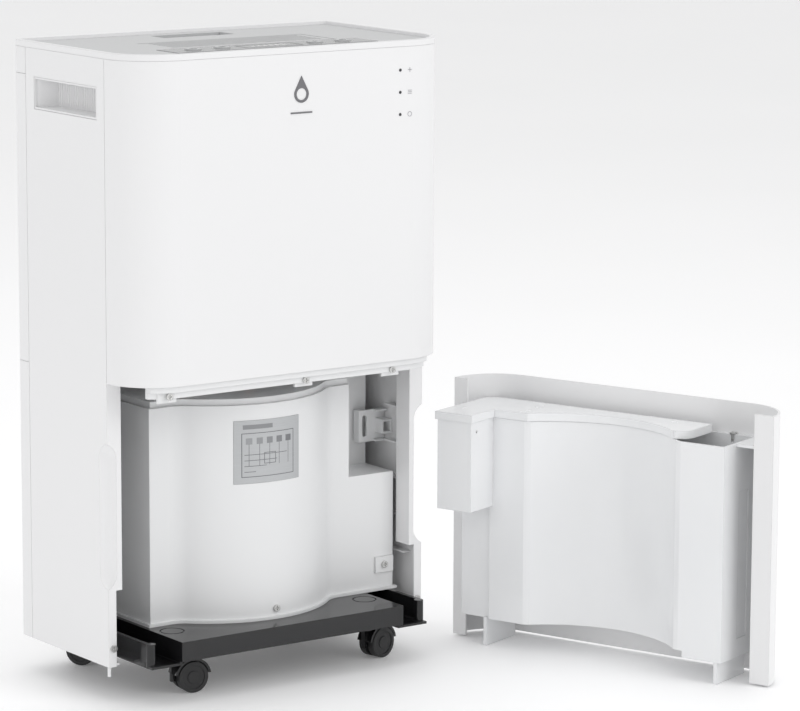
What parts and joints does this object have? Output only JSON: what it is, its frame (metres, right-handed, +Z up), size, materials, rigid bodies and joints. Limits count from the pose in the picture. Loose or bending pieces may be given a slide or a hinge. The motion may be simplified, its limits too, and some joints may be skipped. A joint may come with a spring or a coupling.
{
  "type": "portable dehumidifier",
  "caption": "Upright portable room dehumidifier on swivel casters, with its curved water tank taken out of the lower bay and stood beside it.",
  "frame": {"origin": "on the floor, under the centre of the cabinet", "axes": "+X to the cabinet's right as seen from the front, -Y out of its front, +Z up"},
  "size_m": [0.5753, 0.4756, 0.61],
  "materials": {
    "white_shell": "satin moulded",
    "inner_white": "matt moulded",
    "top_grey": "satin moulded",
    "black_plastic": "matt moulded",
    "tank_clear": "milky translucent",
    "fan_grey": "matt moulded",
    "panel_gloss": "polished",
    "lamp_dark": "polished",
    "badge": "satin",
    "label_foil": "satin printed",
    "zinc_screw": "bright zinc",
    "coil_fins": "satin",
    "copper": "dull",
    "steel_black": "satin black",
    "rubber_foot": "matt",
    "board_green": "satin",
    "filter_mesh": "woven",
    "wheel_rubber": "matt"
  },
  "bodies": {
    "cabinet": {"left_handle_cup": "white_shell", "right_handle_cup": "white_shell", "left_side_panel": "white_shell", "right_side_panel": "white_shell", "front_cover": "white_shell", "lower_rear_cover": "white_shell", "rear_header": "white_shell", "top_rim": "white_shell", "drain_spigot": "white_shell", "front_crossbar": "inner_white", "bay_ceiling": "inner_white", "compressor_cover": "inner_white", "sensor_bracket": "inner_white", "fan_housing": "inner_white", "drip_tray": "inner_white", "electronics_box": "inner_white", "top_panel": "top_grey", "base_tray": "black_plastic", "cord_gland": "black_plastic", "control_panel": "panel_gloss", "front_lamps": "lamp_dark", "front_badge": "badge", "wiring_label": "label_foil", "casing_screws": "zinc_screw", "evaporator": "coil_fins", "condenser": "coil_fins", "refrigerant_pipes": "copper", "compressor": "steel_black", "fan_motor": "steel_black", "compressor_feet": "rubber_foot", "corner_peg_left": "inner_white", "circuit_board": "board_green"},
    "grille": {"intake_grille": "white_shell"},
    "filter": {"air_filter": "filter_mesh"},
    "outlet_flap": {"outlet_flap": "top_grey"},
    "button_power": {"button_power": "top_grey"},
    "button_mode": {"button_mode": "top_grey"},
    "button_fan": {"button_fan": "top_grey"},
    "button_timer": {"button_timer": "top_grey"},
    "fan_rotor": {"fan_rotor": "fan_grey"},
    "tank_turner": {"corner_peg_right": "inner_white"},
    "tank": {"tank_fascia": "white_shell", "tank_vessel": "tank_clear", "float_pin": "zinc_screw", "fascia_screws": "zinc_screw"},
    "tank_lid": {"tank_lid": "tank_clear"},
    "tank_float": {"tank_float": "tank_clear"},
    "caster_fl": {"caster_hood_fl": "black_plastic", "caster_axle_fl": "zinc_screw"},
    "wheels_fl": {"caster_wheels_fl": "wheel_rubber"},
    "caster_fr": {"caster_hood_fr": "black_plastic", "caster_axle_fr": "zinc_screw"},
    "wheels_fr": {"caster_wheels_fr": "wheel_rubber"},
    "caster_rl": {"caster_hood_rl": "black_plastic", "caster_axle_rl": "zinc_screw"},
    "wheels_rl": {"caster_wheels_rl": "wheel_rubber"},
    "caster_rr": {"caster_hood_rr": "black_plastic", "caster_axle_rr": "zinc_screw"},
    "wheels_rr": {"caster_wheels_rr": "wheel_rubber"}
  },
  "joints": [
    {"name": "grille_pull", "type": "slide", "parent": "cabinet", "child": "grille", "axis": [0, 1, 0], "range_m": [0, 0.06]},
    {"name": "filter_draw", "type": "slide", "parent": "grille", "child": "filter", "axis": [0, 0, 1], "range_m": [0, 0.022]},
    {"name": "flap_hinge", "type": "hinge", "parent": "cabinet", "child": "outlet_flap", "pos_m": [0, -0.028, 0.603], "axis": [1, 0, 0], "range_deg": [0, 65]},
    {"name": "press_power", "type": "slide", "parent": "cabinet", "child": "button_power", "axis": [0, 0, -1], "range_m": [0, 0.0012], "stiffness_N_per_m": 400, "springref_m": -0.0005},
    {"name": "press_mode", "type": "slide", "parent": "cabinet", "child": "button_mode", "axis": [0, 0, -1], "range_m": [0, 0.0012], "stiffness_N_per_m": 400, "springref_m": -0.0005},
    {"name": "press_fan", "type": "slide", "parent": "cabinet", "child": "button_fan", "axis": [0, 0, -1], "range_m": [0, 0.0012], "stiffness_N_per_m": 400, "springref_m": -0.0005},
    {"name": "press_timer", "type": "slide", "parent": "cabinet", "child": "button_timer", "axis": [0, 0, -1], "range_m": [0, 0.0012], "stiffness_N_per_m": 400, "springref_m": -0.0005},
    {"name": "fan_spin", "type": "hinge", "parent": "cabinet", "child": "fan_rotor", "pos_m": [0, -0.05, 0.452], "axis": [0, 1, 0], "continuous": true},
    {"name": "swivel_fl", "type": "hinge", "parent": "cabinet", "child": "caster_fl", "pos_m": [-0.111, -0.057, 0.04], "axis": [0, 0, 1], "continuous": true},
    {"name": "roll_fl", "type": "hinge", "parent": "caster_fl", "child": "wheels_fl", "pos_m": [-0.09317, -0.05951, 0.015], "axis": [0.1392, 0.9903, 0], "continuous": true},
    {"name": "swivel_fr", "type": "hinge", "parent": "cabinet", "child": "caster_fr", "pos_m": [0.111, -0.057, 0.04], "axis": [0, 0, 1], "continuous": true},
    {"name": "roll_fr", "type": "hinge", "parent": "caster_fr", "child": "wheels_fr", "pos_m": [0.12861, -0.05326, 0.015], "axis": [-0.2079, 0.9781, 0], "continuous": true},
    {"name": "swivel_rl", "type": "hinge", "parent": "cabinet", "child": "caster_rl", "pos_m": [-0.111, 0.072, 0.04], "axis": [0, 0, 1], "continuous": true},
    {"name": "roll_rl", "type": "hinge", "parent": "caster_rl", "child": "wheels_rl", "pos_m": [-0.12208, 0.08618, 0.015], "axis": [-0.788, -0.6157, 0], "continuous": true},
    {"name": "swivel_rr", "type": "hinge", "parent": "cabinet", "child": "caster_rr", "pos_m": [0.111, 0.072, 0.04], "axis": [0, 0, 1], "continuous": true},
    {"name": "roll_rr", "type": "hinge", "parent": "caster_rr", "child": "wheels_rr", "pos_m": [0.12, 0.08759, 0.015], "axis": [-0.866, 0.5, 0], "continuous": true},
    {"name": "tank_turn", "type": "hinge", "parent": "cabinet", "child": "tank_turner", "pos_m": [0.1783, -0.0535, 0.03], "axis": [0, 0, 1], "range_deg": [-110, 0]},
    {"name": "tank_slide", "type": "slide", "parent": "tank_turner", "child": "tank", "axis": [0.7858, 0.286, -0.5484], "range_m": [-0.07295, 0]},
    {"name": "lid_lift", "type": "slide", "parent": "tank", "child": "tank_lid", "axis": [0, 0, 1], "range_m": [0, 0.06]},
    {"name": "float_swing", "type": "hinge", "parent": "tank", "child": "tank_float", "pos_m": [0.20938, -0.08773, 0.222], "axis": [0.342, -0.9397, 0], "range_deg": [0, 20]}
  ]
}
